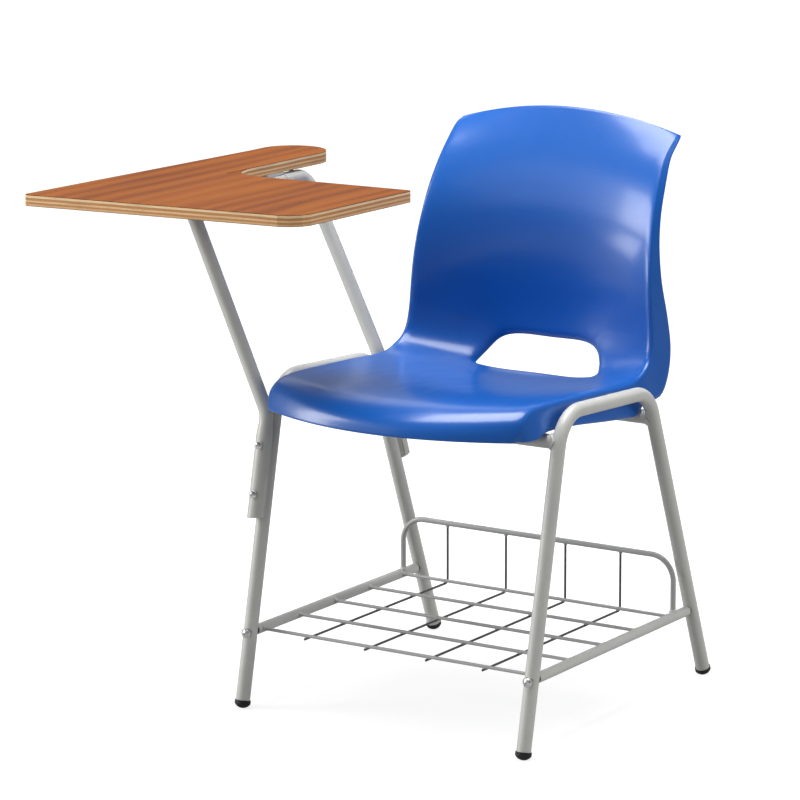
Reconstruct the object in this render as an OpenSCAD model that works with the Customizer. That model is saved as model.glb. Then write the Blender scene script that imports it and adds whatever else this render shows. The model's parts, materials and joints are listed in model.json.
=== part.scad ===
// Student chair with a flip-up writing tablet and a wire book rack.
// Frame before placing: X to the sitter's left, Y to the rear, Z up,
// floor at z = 0, x = 0 on the seat's middle line, y = 0 midway between the feet.

/* [Frame] */
// Distance from the middle line to each side frame
frame_half_w = 218; // [214:0.5:226]
// Outer diameter of the frame tube
tube_d = 19; // [18:0.1:19.4]
// Wall of the frame tube
tube_wall = 1.5; // [1.2:0.1:2]
// Height of the rail's axis where the front leg meets it
rail_front_z = 433; // [428:1:436]
// Height of the rail's axis where the rear leg meets it
rail_rear_z = 422; // [418:1:425]
// Bend radius of the side frames
frame_bend_r = 50; // [44:1:54]

/* [Rack] */
// Outer diameter of the rack's side tubes
rack_tube_d = 13.5; // [12.5:0.1:14]
// Height of the rack's side tubes
rack_z = 99.5; // [94:0.5:110]
// Diameter of the cross wires
cross_wire_d = 4.5; // [4:0.1:5]
// Diameter of the wires that run front to back
depth_wire_d = 3.2; // [3:0.1:4]
// Diameter of the rear guard's rod
guard_rod_d = 7.4; // [6:0.1:7.4]
// Height of the rear guard's top rod
guard_z = 181; // [165:1:190]

/* [Tablet] */
// Height of the hinge axis
hinge_z = 661.5; // [650:0.5:670]
// Distance from the middle line to the hinge axis
hinge_out = 339; // [332:0.5:345]
// Thickness of the plywood without its two skins
ply_t = 13.4; // [12:0.1:16]
// Thickness of each laminate skin
skin_t = 0.8; // [0.6:0.1:1]

/* [Shell] */
// Wall thickness of the moulded shell
shell_t = 4; // [3.5:0.1:4.2]

/* [Hidden] */
$fn = 48;

tube_r = tube_d / 2;
tube_in_r = tube_r - tube_wall;
touch = 0.05;             // gap left between faces that meet
bend_lap = 0.4;           // how far a straight runs into a bend
bend_step = 0.03;         // how much thinner a bend is than its straights

// Side frame: corner points of the tube's axis, seen from the side as [y, z]
foot_front_y = -243;
foot_rear_y = 233;
rail_front_y = -150;
rail_rear_y = 70;
front_rake = (rail_front_y - foot_front_y) / rail_front_z;
rear_rake = (rail_rear_y - foot_rear_y) / rail_rear_z;
front_up = unit([0, front_rake, 1]);
rear_up = unit([0, rear_rake, 1]);
front_out = [0, -front_up.z, front_up.y];
rear_out = [0, rear_up.z, -rear_up.y];

// Cross tubes, on the legs' axes
front_cross_z = 397;
rear_cross_z = 384.5;

// Feet
foot_r = 10.7;
foot_top = 10.5;          // along the leg, above the floor
foot_stem = 20;
foot_dome_h = 6;          // height of the domed underside
foot_dome_r = (foot_r * foot_r + foot_dome_h * foot_dome_h) / (2 * foot_dome_h);
foot_flat = 0.6;          // what the floor takes off the dome

// Rack
rack_r = rack_tube_d / 2;
rack_in_r = rack_r - 1.2;
rack_front_end = front_leg_y(rack_z) + 12;
rack_rear_end = rear_leg_y(rack_z) - 13.4;
cross_wire_z = rack_z + 0.5;
cross_wire_y0 = -200;
cross_wire_pitch = 85.5;
cross_wire_count = 5;
depth_wire_z = cross_wire_z - (cross_wire_d + depth_wire_d) / 2 - touch;
DEPTH_WIRE_X = [-142.5, -47.5, 47.5, 134];
depth_wire_front = cross_wire_y0 - 5;
depth_wire_bend = 6;
guard_y = 148;
guard_half_w = frame_half_w - 2;
guard_bend = 34;
spigot_r = 3.5;           // pin of the rear plug in the rear leg
bolt_r = 3;
bolt_hole_r = 3.2;
washer_r = 7;
washer_t = 1.6;
support_washer_r = 6;

// Tablet supports: a saddle on the leg, a slanted run and a stub on the hinge axis
saddle_r = 11;
saddle_off = 19.1;        // from the leg's axis to the saddle's
saddle_cone = 16;         // length over which the saddle narrows to the tube
saddle_neck = 4;          // plain tube between the cone and the bend
elbow_bend = 40;
top_bend = 22;
corner_lean = 3;          // how far the upper corners stand outside the elbows, along Y
front_elbow_z = 385;      // heights on the leg's axis
rear_elbow_z = 415;
front_saddle_z = 247.5;
rear_saddle_z = 263;
saddle_slant = 12;
front_bolt_z = [278, 342];
rear_bolt_z = [298, 356];
front_elbow = leg_point(-1, true, front_elbow_z) + saddle_off * front_out;
rear_elbow = leg_point(-1, false, rear_elbow_z) + saddle_off * rear_out;
hinge_x = -hinge_out;
front_stub_end = -125;
rear_stub_end = 35;
pivot_washer_t = 1.2;
crossbar_front = front_stub_end + pivot_washer_t;
crossbar_rear = rear_stub_end - pivot_washer_t;
pivot_r = tube_in_r - touch;
pivot_in_r = pivot_r - 2;
rivet_y = [-147, 58];

// Tablet board
bracket_t = 2.5;
board_low = hinge_z + tube_r + bracket_t;
core_low = board_low + skin_t;
core_high = core_low + ply_t;
board_high = core_high + skin_t;
board_front_outer = [-456, -385];
board_front_inner = [-53, -342];
board_rear_inner = [-46, -90];
board_notch = [-332, -99];
arm_r = 48;
notch_r = 42;
arm_centre = [-380.5, 119];
bracket_y = [-100, 12];
bracket_w = 38;
bracket_x = [-418, hinge_x + 6];
screw_x = [-407, -364];
screw_dy = 12;
rest_x = -272;
rest_y = -136;
open_buffer_t = 12.2;
open_buffer_out = 72;     // from the hinge axis, towards the board's outer edge

// Places the chair so that its box stands centred on the origin
box_x = [board_front_outer.x, frame_half_w + foot_r];
box_y = [board_front_outer.y, foot_rear_y + 7.7];
to_origin = [-(box_x[0] + box_x[1]) / 2, -(box_y[0] + box_y[1]) / 2, 0];

// Shell control stations from the front edge to the top edge. Each holds the
// middle line [y, z], the rim corner [x, y, z] and the flange's free edge [x, y, z].
STATIONS = [
    [-270, 404.5, 187, -220, 404.5, 191, -214, 404.5],
    [-266, 416, 191, -214.5, 418, 197.5, -206, 404.5],
    [-255, 427, 192.5, -207, 431, 201, -197, 404.5],
    [-236, 435.5, 193, -192, 440, 203.5, -184, 405.5],
    [-208, 440, 193, -170, 444, 204, -166, 410.5],
    [-165, 440, 194, -135, 444, 204, -135, 410],
    [-105, 435, 195, -80, 442, 204, -80, 405],
    [-35, 426.5, 196, -15, 439, 204, -15, 397],
    [35, 417.5, 197, 42, 436, 204, 42, 391],
    [85, 411, 197, 74, 437, 204, 66, 390],
    [118, 408, 196.5, 95, 443, 203.5, 90, 403.5],
    [147, 409.5, 195, 110, 453, 203, 130, 404],
    [171, 424, 193, 118, 468, 202, 152, 427],
    [184, 452, 191, 121.5, 492, 200, 162, 464],
    [183, 491, 188, 123, 530, 197, 157, 508],
    [174, 535, 185, 127, 565, 193, 148, 555],
    [168, 580, 181.5, 136, 603, 188.5, 149, 601],
    [169, 625, 177, 150, 642, 184, 160, 642],
    [179, 668, 171.5, 171, 680, 179.5, 180, 682],
    [196, 706, 168, 193, 710, 175, 200, 712],
    [219, 745, 169, 215, 731, 174.5, 221, 731],
    [231, 764, 168.5, 230, 739.5, 172, 233.5, 737.5]
];
last_station = len(STATIONS) - 1;
dish_power = 2;
corner_start = 0.93;      // section parameter where the rim starts to turn
corner_end = 1.07;        // and where it has turned into the flange
section_end = 1.5;        // the flange's free edge
corner_share = 0.18;      // part of the flange that the turn takes up
DISH_COLS = [0, 0.1, 0.2, 0.3, 0.4, 0.5, 0.6, 0.7, 0.78, 0.86];
EDGE_COLS = [0.93, 0.965, 1, 1.035, 1.07, 1.21, 1.36, 1.5];
HALF_COLS = concat(DISH_COLS, EDGE_COLS);
COLS = concat([for (i = [len(HALF_COLS) - 1:-1:1]) -HALF_COLS[i]], HALF_COLS);
rows_per_station = 2;
row_count = last_station * rows_per_station + 1;
// Hand hole, in section and station parameters
hole_t = 12;
hole_half_t = 1.06;
hole_half_low = 0.53;     // half width at the lower edge
hole_half_high = 0.385;   // half width at the upper edge
hole_square = 4;          // squareness of its corners
hole_arch = 0.36;         // how far the lower edge's middle stands above its corners, halved
hole_rows = [20, 28];     // rows of the block that the hole replaces
hole_side = 7;            // the block's side columns, counted from the middle
hole_cols = [len(HALF_COLS) - 1 - hole_side, len(HALF_COLS) - 1 + hole_side];
hole_rings = 3;

function unit(v) = v / norm(v);
function front_leg_y(z) = foot_front_y + front_rake * z;
function rear_leg_y(z) = foot_rear_y + rear_rake * z;
function leg_point(side, front, z) =
    [side * frame_half_w, front ? front_leg_y(z) : rear_leg_y(z), z];

// ---- Helpers -------------------------------------------------------------

// Stands its children on point p with +Z along d
module along(p, d) {
    u = unit(d);
    translate(p) rotate([0, acos(u.z), atan2(u.y, u.x)]) children();
}

// Straight round bar or tube from a to b
module bar(a, b, r, r_in = 0) {
    len_ab = norm(b - a);
    along(a, b - a)
        difference() {
            cylinder(h = len_ab, r = r);
            if (r_in > 0)
                translate([0, 0, -1]) cylinder(h = len_ab + 2, r = r_in);
        }
}

// Part of a solid torus that turns from direction d1 to d2, starting at point p
module elbow(p, d1, d2, bend, r) {
    turn = acos(d1 * d2);
    n = unit(d2 - (d1 * d2) * d1);
    b = cross(-n, d1);
    c = p + bend * n;
    multmatrix([
        [-n.x, d1.x, b.x, c.x],
        [-n.y, d1.y, b.y, c.y],
        [-n.z, d1.z, b.z, c.z],
        [0, 0, 0, 1]
    ])
        rotate_extrude(angle = turn, $fn = 96)
            translate([bend, 0]) circle(r = r, $fn = 48);
}

// Solid rod along a polyline whose inner corners are bent to the given radii.
// Straights run a little into the bends, which are a hair thinner.
module rod_path(pts, bends, r, first = 0) {
    n = len(pts);
    dirs = [for (i = [0:n - 2]) unit(pts[i + 1] - pts[i])];
    cut = [for (i = [0:n - 1])
        i == 0 || i == n - 1 ? 0 : bends[i - 1] * tan(acos(dirs[i - 1] * dirs[i]) / 2)];
    for (i = [first:n - 2])
        bar(pts[i] + (cut[i] - (i > 0 ? bend_lap : 0)) * dirs[i],
            pts[i + 1] - (cut[i + 1] - (i < n - 2 ? bend_lap : 0)) * dirs[i], r);
    for (i = [1:n - 2])
        elbow(pts[i] - cut[i] * dirs[i - 1], dirs[i - 1], dirs[i], bends[i - 1], r - bend_step);
}

// The same line as a tube, open at both ends
module tube_path(pts, bends, r, r_in) {
    n = len(pts);
    past = 2;
    core = [for (i = [0:n - 1])
        i == 0 ? pts[0] - past * unit(pts[1] - pts[0])
        : i == n - 1 ? pts[i] + past * unit(pts[i] - pts[i - 1])
        : pts[i]];
    difference() {
        rod_path(pts, bends, r);
        rod_path(core, bends, r_in);
    }
}

// Solid cylinder on the straight part of a leg, to cope other pieces to it
module leg_cutter(side, front, r) {
    bar(leg_point(side, front, -30), leg_point(side, front, 405), r);
}

// Domed socket head on z = 0 with its shank below
module dome_bolt(r, length, head_r, head_h) {
    ball_r = (head_r * head_r + head_h * head_h) / (2 * head_h);
    difference() {
        intersection() {
            translate([0, 0, head_h - ball_r]) sphere(r = ball_r, $fn = 64);
            cylinder(h = head_h + 1, r = head_r);
        }
        translate([0, 0, head_h - 1.8]) cylinder(h = 3, r = r * 0.62, $fn = 6);
    }
    translate([0, 0, -length]) cylinder(h = length, r = r);
}

// ---- Moulded shell -------------------------------------------------------

function catmull(a, b, c, d, t) =
    ((2 * b) + (c - a) * t + (2 * a - 5 * b + 4 * c - d) * t * t
     + (3 * b - a - 3 * c + d) * t * t * t) / 2;
function station(t) =
    let (
        k = min(max(floor(t), 0), last_station - 1),
        f = t - k,
        a = STATIONS[max(k - 1, 0)],
        b = STATIONS[k],
        c = STATIONS[k + 1],
        d = STATIONS[min(k + 2, last_station)]
    ) catmull(a, b, c, d, f);
function dish(s, w) =
    let (e = pow(s, dish_power))
    [s * w[2], w[0] + (w[3] - w[0]) * e, w[1] + (w[4] - w[1]) * e];
function flange(f, w) =
    [w[2] + (w[5] - w[2]) * f, w[3] + (w[6] - w[3]) * f, w[4] + (w[7] - w[4]) * f];
// Point of one half section at parameter q (0 on the middle line)
function half_section(q, w) =
    q <= corner_start ? dish(q, w)
    : q < corner_end
        ? let (
            b = (q - corner_start) / (corner_end - corner_start),
            p0 = dish(corner_start, w),
            p1 = dish(1, w),
            p2 = flange(corner_share, w)
        ) (1 - b) * (1 - b) * p0 + 2 * b * (1 - b) * p1 + b * b * p2
        : flange(corner_share + (1 - corner_share)
                 * (q - corner_end) / (section_end - corner_end), w);
function shell_point(q, t) =
    let (p = half_section(abs(q), station(t)))
    [sign(q) * p.x, p.y, p.z];
function shell_normal(q, t) =
    let (
        h = 0.01,
        a = abs(q),
        p1 = half_section(max(a - h, 0), station(t)),
        p2 = half_section(min(a + h, section_end), station(t)),
        p3 = half_section(a, station(max(t - h, 0))),
        p4 = half_section(a, station(min(t + h, last_station))),
        n = unit(cross(p2 - p1, p4 - p3))
    ) q == 0 ? unit([0, n.y, n.z]) : [sign(q) * n.x, n.y, n.z];

function hole_edge(angle) =
    let (
        c = cos(angle),
        s = sin(angle),
        dt = hole_half_t * sign(s) * pow(abs(s), 2 / hole_square),
        share = (dt / hole_half_t + 1) / 2,
        half = hole_half_low + (hole_half_high - hole_half_low) * share,
        across = sign(c) * pow(abs(c), 2 / hole_square),
        arch = dt < 0 ? -hole_arch * (1 - 2 * across * across) * dt / hole_half_t : 0
    ) [half * across, hole_t + dt + arch];

// Grid vertices as [q, t]; the block around the hand hole is left to rings
function row_t(i) = i / rows_per_station;
function in_block(i, j) =
    i > hole_rows[0] && i < hole_rows[1] && j > hole_cols[0] && j < hole_cols[1];
ncol = len(COLS);
GRID_UV = [for (i = [0:row_count - 1]) for (j = [0:ncol - 1]) [COLS[j], row_t(i)]];
LOOP_IJ = concat(
    [for (j = [hole_cols[0]:hole_cols[1] - 1]) [hole_rows[0], j]],
    [for (i = [hole_rows[0]:hole_rows[1] - 1]) [i, hole_cols[1]]],
    [for (j = [hole_cols[1]:-1:hole_cols[0] + 1]) [hole_rows[1], j]],
    [for (i = [hole_rows[1]:-1:hole_rows[0] + 1]) [i, hole_cols[0]]]
);
loop_n = len(LOOP_IJ);
function loop_uv(k) = [COLS[LOOP_IJ[k][1]], row_t(LOOP_IJ[k][0])];
function loop_edge(k) =
    let (uv = loop_uv(k))
    hole_edge(atan2((uv[1] - hole_t) / (row_t(hole_rows[1]) - hole_t), uv[0] / HALF_COLS[hole_side]));
RING_UV = [for (m = [1:hole_rings]) for (k = [0:loop_n - 1])
    loop_uv(k) + (loop_edge(k) - loop_uv(k)) * m / hole_rings];
ALL_UV = concat(GRID_UV, RING_UV);
front_n = len(ALL_UV);
function grid_id(i, j) = i * ncol + j;
function ring_id(m, k) =
    m == 0 ? grid_id(LOOP_IJ[k % loop_n][0], LOOP_IJ[k % loop_n][1])
    : row_count * ncol + (m - 1) * loop_n + k % loop_n;
function quad(a, b, c, d) = [[a, b, c], [a, c, d]];
QUADS = concat(
    [for (i = [0:row_count - 2]) for (j = [0:ncol - 2])
        if (!(i >= hole_rows[0] && i < hole_rows[1] && j >= hole_cols[0] && j < hole_cols[1]))
            [grid_id(i, j), grid_id(i, j + 1), grid_id(i + 1, j + 1), grid_id(i + 1, j)]],
    [for (m = [0:hole_rings - 1]) for (k = [0:loop_n - 1])
        [ring_id(m, k), ring_id(m, k + 1), ring_id(m + 1, k + 1), ring_id(m + 1, k)]]
);
RIM_IJ = concat(
    [for (j = [0:ncol - 2]) grid_id(0, j)],
    [for (i = [0:row_count - 2]) grid_id(i, ncol - 1)],
    [for (j = [ncol - 1:-1:1]) grid_id(row_count - 1, j)],
    [for (i = [row_count - 1:-1:1]) grid_id(i, 0)]
);

module seat_shell() {
    outer = [for (uv = ALL_UV) shell_point(uv[0], uv[1])];
    inner = [for (i = [0:front_n - 1])
        outer[i] - shell_t * shell_normal(ALL_UV[i][0], ALL_UV[i][1])];
    rim_n = len(RIM_IJ);
    faces = concat(
        [for (f = QUADS) each quad(f[3], f[2], f[1], f[0])],
        [for (f = QUADS) each quad(front_n + f[0], front_n + f[1], front_n + f[2], front_n + f[3])],
        [for (k = [0:rim_n - 1])
            let (a = RIM_IJ[k], b = RIM_IJ[(k + 1) % rim_n])
            each quad(a, b, front_n + b, front_n + a)],
        [for (k = [0:loop_n - 1])
            let (a = ring_id(hole_rings, k), b = ring_id(hole_rings, k + 1))
            each quad(b, a, front_n + a, front_n + b)]
    );
    color("royalblue")
        translate(to_origin)
            polyhedron(points = concat(outer, inner), faces = faces, convexity = 8);
}

// ---- Seat fixing ---------------------------------------------------------

seat_fix_x = 120;
bracket_plate_t = 3;
bracket_hole_r = 3.3;
boss_r = 7.5;
boss_sink = 1.6;          // how far a boss is moulded into the shell's wall
// [y of the cross tube, z of the tube, z of the shell's underside there]
SEAT_FIX = [
    [front_leg_y(front_cross_z), front_cross_z, 437.6],
    [rear_leg_y(rear_cross_z), rear_cross_z, 416.7]
];

module at_seat_fixings() {
    for (fix = SEAT_FIX)
        for (side = [-1, 1])
            translate([side * seat_fix_x, fix[0], fix[1] + tube_r])
                let ($under = fix[2] - fix[1] - tube_r)
                children();
}

module seat_bosses() {
    color("royalblue")
        translate(to_origin)
            at_seat_fixings()
                difference() {
                    translate([0, 0, bracket_plate_t])
                        cylinder(h = $under + boss_sink - bracket_plate_t, r = boss_r);
                    translate([0, 0, -1]) cylinder(h = $under - 2, r = bolt_r + touch);
                }
}

module seat_brackets() {
    color("darkgray")
        translate(to_origin)
            at_seat_fixings()
                difference() {
                    translate([-20, -14, 0]) cube([40, 28, bracket_plate_t]);
                    translate([0, 0, -1]) cylinder(h = 5, r = bracket_hole_r);
                }
}

module seat_screws() {
    color("silver")
        translate(to_origin)
            at_seat_fixings()
                mirror([0, 0, 1])
                    translate([0, 0, tube_d])
                        dome_bolt(bolt_r, tube_d + $under - 4, 6, 3.4);
}

// ---- Frame ---------------------------------------------------------------

// Corner points of a side frame's axis, from the front leg's end to the rear leg's
function side_frame_line(side) = [
    leg_point(side, true, 0) + (foot_top + touch) * front_up,
    leg_point(side, true, rail_front_z), leg_point(side, false, rail_rear_z),
    leg_point(side, false, 0) + (foot_top + touch) * rear_up
];

module side_frame(side) {
    color("darkgray")
        translate(to_origin)
            difference() {
                tube_path(side_frame_line(side), [frame_bend_r, frame_bend_r],
                          tube_r, tube_in_r);
                rack_bolt_holes(side);
                if (side < 0)
                    support_bolt_holes(nut_sleeve_r + touch);
            }
}

// Bolt hole right through the front leg and a blind one in the rear leg's front wall
module rack_bolt_holes(side) {
    translate(leg_point(side, true, rack_z))
        rotate([90, 0, 0]) cylinder(h = 30, r = bolt_hole_r, center = true);
    translate(leg_point(side, false, rack_z))
        rotate([90, 0, 0]) cylinder(h = 20, r = spigot_r + touch);
}

// Bores on the support bolts' axes, from the leg's axis outwards
module support_bolt_holes(r) {
    for (z = front_bolt_z)
        along(leg_point(-1, true, z), front_out) cylinder(h = 40, r = r);
    for (z = rear_bolt_z)
        along(leg_point(-1, false, z), rear_out) cylinder(h = 40, r = r);
}

module left_side_frame() {
    side_frame(1);
}

module right_side_frame() {
    side_frame(-1);
}

module cross_tube(y, z, front) {
    reach = frame_half_w;
    color("darkgray")
        translate(to_origin)
            difference() {
                bar([-reach, y, z], [reach, y, z], tube_r, tube_in_r);
                for (side = [-1, 1])
                    if (front)
                        rod_path(side_frame_line(side), [frame_bend_r, frame_bend_r],
                                 tube_r + touch);
                    else
                        leg_cutter(side, front, tube_r + touch);
                for (x = [-seat_fix_x, seat_fix_x])
                    translate([x, y, z - tube_d]) cylinder(h = 2 * tube_d, r = bolt_hole_r);
            }
}

module front_cross_tube() {
    cross_tube(front_leg_y(front_cross_z), front_cross_z, true);
}

module rear_cross_tube() {
    cross_tube(rear_leg_y(rear_cross_z), rear_cross_z, false);
}

// Half section of the cap, with a domed underside
module foot_profile(dome_centre) {
    intersection() {
        translate([0, dome_centre]) circle(r = foot_dome_r, $fn = 96);
        translate([0, -foot_flat]) square([foot_r, foot_top + foot_flat]);
    }
}

// Rubber cap with a stem inside the leg, cut flat where it stands on the floor
module foot(side, front) {
    up = front ? front_up : rear_up;
    color("black")
        translate(to_origin)
            difference() {
                along(leg_point(side, front, 0), up) {
                    rotate_extrude() foot_profile((foot_dome_r - foot_flat) / up.z);
                    translate([0, 0, foot_top - 1])
                        cylinder(h = foot_stem, r = tube_in_r - touch);
                }
                translate([side * frame_half_w - 40, -400, -40]) cube([80, 800, 40]);
            }
}

module foot_front_left() {
    foot(1, true);
}

module foot_front_right() {
    foot(-1, true);
}

module foot_rear_left() {
    foot(1, false);
}

module foot_rear_right() {
    foot(-1, false);
}

// ---- Book rack -----------------------------------------------------------

module rack_axis_bar(side, y1, y2, r, r_in = 0) {
    bar([side * frame_half_w, y1, rack_z], [side * frame_half_w, y2, rack_z], r, r_in);
}

module rack_tube(side) {
    color("darkgray")
        translate(to_origin)
            rack_axis_bar(side, rack_front_end, rack_rear_end, rack_r, rack_in_r);
}

module rack_tube_left() {
    rack_tube(1);
}

module rack_tube_right() {
    rack_tube(-1);
}

// Plugs that close the rack tubes: the front ones take the bolts' threads, the rear
// ones end in a pin that sits in the leg
module rack_end_plugs() {
    plug_r = rack_in_r - touch;
    color("dimgray")
        translate(to_origin)
            for (side = [-1, 1]) {
                difference() {
                    rack_axis_bar(side, front_leg_y(rack_z), rack_front_end + 16, plug_r);
                    leg_cutter(side, true, tube_r + touch);
                    rack_axis_bar(side, rack_front_end - 20, rack_front_end + 20, bolt_r + touch);
                }
                difference() {
                    rack_axis_bar(side, rack_rear_end - 16, rear_leg_y(rack_z), plug_r);
                    leg_cutter(side, false, tube_r + touch);
                }
                rack_axis_bar(side, rack_rear_end - 8, rear_leg_y(rack_z) - 6, spigot_r);
            }
}

// Children stand on each rack bolt's seat, with +Z pointing away from the rack
module at_rack_bolts() {
    for (side = [-1, 1])
        translate([side * frame_half_w, front_leg_y(rack_z) - tube_r - washer_t, rack_z])
            rotate([90, 0, 0]) children();
}

module rack_bolts() {
    color("silver")
        translate(to_origin)
            at_rack_bolts()
                dome_bolt(bolt_r, 36, 5.8, 3.6);
}

// Washers shaped to the leg on their inner face
module rack_washers() {
    color("gainsboro")
        translate(to_origin)
            difference() {
                at_rack_bolts()
                    difference() {
                        translate([0, 0, -6]) cylinder(h = 6, r = washer_r);
                        translate([0, 0, -7]) cylinder(h = 8, r = bolt_r + touch);
                    }
                for (side = [-1, 1])
                    leg_cutter(side, true, tube_r + touch);
            }
}

module rack_tube_cutters() {
    for (side = [-1, 1])
        rack_axis_bar(side, -260, 260, rack_r + touch);
}

module rack_cross_wires() {
    color("silver")
        translate(to_origin)
            difference() {
                for (i = [0:cross_wire_count - 1])
                    let (y = cross_wire_y0 + i * cross_wire_pitch)
                    bar([-frame_half_w + 2, y, cross_wire_z], [frame_half_w - 2, y, cross_wire_z],
                        cross_wire_d / 2);
                rack_tube_cutters();
            }
}

module rack_depth_wires() {
    r = depth_wire_d / 2;
    top = guard_z - guard_rod_d / 2 - touch;
    color("silver")
        translate(to_origin)
            for (x = DEPTH_WIRE_X)
                rod_path([[x, depth_wire_front, depth_wire_z], [x, guard_y, depth_wire_z],
                          [x, guard_y, top]], [depth_wire_bend], r);
}

module rack_guard() {
    x = guard_half_w;
    color("silver")
        translate(to_origin)
            difference() {
                rod_path([[-x, guard_y, rack_z], [-x, guard_y, guard_z],
                          [x, guard_y, guard_z], [x, guard_y, rack_z]],
                         [guard_bend, guard_bend], guard_rod_d / 2);
                rack_tube_cutters();
            }
}

// ---- Tablet supports -----------------------------------------------------

// One support: bent tube with its lower end widened and dented over the leg
module tablet_support(front) {
    up = front ? front_up : rear_up;
    low = support_low(front);
    run = support_run(front, 0);
    core_run = support_run(front, 2);
    neck_end = norm(run[1] - low)
        - elbow_bend * tan(acos(up * unit(run[2] - run[1])) / 2) + bend_lap;
    color("darkgray")
        translate(to_origin)
            difference() {
                union() {
                    along(low, up) widened(neck_end, saddle_r, tube_r, 0);
                    rod_path(run, [elbow_bend, top_bend], tube_r, first = 1);
                }
                difference() {
                    along(low, up) widened(neck_end, saddle_r - tube_wall, tube_in_r, 2);
                    leg_cutter(-1, front, tube_r + tube_wall);
                }
                rod_path(core_run, [elbow_bend, top_bend], tube_in_r, first = 1);
                leg_cutter(-1, front, tube_r + touch);
                // slanted lower end
                along(low, up)
                    rotate([front ? -saddle_slant : saddle_slant, 0, 0])
                        translate([-30, -30, -40]) cube([60, 60, 40]);
                support_bolt_holes(bolt_hole_r);
                rivet_holes();
            }
}

function support_low(front) =
    leg_point(-1, front, front ? front_saddle_z : rear_saddle_z)
    + saddle_off * (front ? front_out : rear_out);
// Axis of a support: start, elbow, corner and the stub's end, the last drawn out by "past"
function support_run(front, past) =
    let (
        bend_point = front ? front_elbow : rear_elbow,
        way = front ? 1 : -1,
        corner = [hinge_x, bend_point.y - way * corner_lean, hinge_z],
        stub = [hinge_x, (front ? front_stub_end : rear_stub_end) + way * past, hinge_z]
    ) [support_low(front), bend_point, corner, stub];

// Round length with a wide lower part, a cone and a narrow neck; starts "below" under z = 0
module widened(length, wide_r, narrow_r, below) {
    cone_end = length - saddle_neck;
    rotate_extrude()
        polygon([
            [0, -below], [wide_r, -below], [wide_r, cone_end - saddle_cone],
            [narrow_r, cone_end], [narrow_r, length], [0, length]
        ]);
}

module rivet_holes() {
    for (y = rivet_y)
        translate([hinge_x, y, hinge_z]) cylinder(h = 40, r = 2.5 + touch, center = true);
}

module tablet_support_front() {
    tablet_support(true);
}

module tablet_support_rear() {
    tablet_support(false);
}

saddle_face = saddle_off + saddle_r;
nut_sleeve_r = 4.3;
nut_bulge_r = 5.4;
nut_inset = 1.15;         // how far a nut's flat end stays under the leg's crown

// Children stand on each support bolt's seat, with +Z pointing out of the saddle
module at_support_bolts() {
    for (z = front_bolt_z)
        along(leg_point(-1, true, z) + saddle_face * front_out, front_out) children();
    for (z = rear_bolt_z)
        along(leg_point(-1, false, z) + saddle_face * rear_out, rear_out) children();
}

module support_bolts() {
    grip = saddle_face + washer_t;
    color("silver")
        translate(to_origin)
            at_support_bolts()
                translate([0, 0, washer_t]) dome_bolt(bolt_r, grip + 2, 5.2, 3.3);
}

module support_washers() {
    color("gainsboro")
        translate(to_origin)
            at_support_bolts()
                difference() {
                    cylinder(h = washer_t, r = support_washer_r);
                    translate([0, 0, -1]) cylinder(h = 4, r = bolt_r + touch);
                }
}

// Blind rivet nuts set in the leg's wall
module support_nuts() {
    color("silver")
        translate(to_origin)
            at_support_bolts()
                translate([0, 0, -saddle_face])
                    difference() {
                        union() {
                            translate([0, 0, -4]) cylinder(h = 4 + tube_r - nut_inset, r = nut_sleeve_r);
                            translate([0, 0, 1.5]) cylinder(h = 3.8, r = nut_bulge_r);
                        }
                        translate([0, 0, -5]) cylinder(h = 20, r = bolt_r + touch);
                    }
}

// ---- Hinge ---------------------------------------------------------------

module hinge_bar(y1, y2, r, r_in = 0) {
    bar([hinge_x, y1, hinge_z], [hinge_x, y2, hinge_z], r, r_in);
}

module pivot_tube() {
    color("lightgray")
        translate(to_origin)
            difference() {
                hinge_bar(rivet_y[0] - 8, rivet_y[1] + 8, pivot_r, pivot_in_r);
                rivet_holes();
            }
}

// Round-headed rivets that lock the pivot tube in the stubs
module pivot_rivets() {
    head_h = 1.4;
    head_r = 4.2;
    color("white")
        translate(to_origin)
            for (y = rivet_y)
                translate([hinge_x, y, hinge_z]) {
                    cylinder(h = tube_d, r = 2.5, center = true);
                    for (flip = [0, 180])
                        rotate([0, flip, 0])
                            difference() {
                                translate([0, 0, tube_r - 0.9])
                                    cylinder(h = head_h + 0.9, r1 = head_r, r2 = 2.4);
                                translate([0, -10, 0])
                                    rotate([-90, 0, 0]) cylinder(h = 20, r = tube_r + touch);
                            }
                }
}

module pivot_washers() {
    gap = 0.1;
    color("black")
        translate(to_origin)
            for (y = [front_stub_end, rear_stub_end - pivot_washer_t])
                hinge_bar(y + gap, y + pivot_washer_t - gap, tube_r - 0.4, pivot_r + touch);
}

// Fixed arm welded to the front stub, with the rubber that the tablet rests on
module rest_arm() {
    arm_t = 4;
    arm_w = 20;
    color("darkgray")
        translate(to_origin)
            difference() {
                translate([hinge_x, rest_y - arm_w / 2, hinge_z - arm_t / 2])
                    cube([rest_x + 13 - hinge_x, arm_w, arm_t]);
                hinge_bar(rest_y - arm_w, rest_y + arm_w, tube_r + touch);
                translate([rest_x, rest_y, hinge_z - 10]) cylinder(h = 20, r = 3);
            }
}

module rest_buffer() {
    color("black")
        translate(to_origin)
            translate([rest_x, rest_y, hinge_z + 2]) {
                cylinder(h = board_low - hinge_z - 2 - 0.3, r = 8);
                translate([0, 0, -6]) cylinder(h = 6.5, r = 3 - touch);
            }
}

// ---- Tablet --------------------------------------------------------------

module tablet_crossbar() {
    color("darkgray")
        translate(to_origin)
            hinge_bar(crossbar_front, crossbar_rear, tube_r, tube_in_r);
}

module at_tablet_screws() {
    for (y = bracket_y)
        for (x = screw_x)
            for (dy = [-screw_dy, screw_dy])
                translate([x, y + dy, board_low - bracket_t]) children();
}

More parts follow.
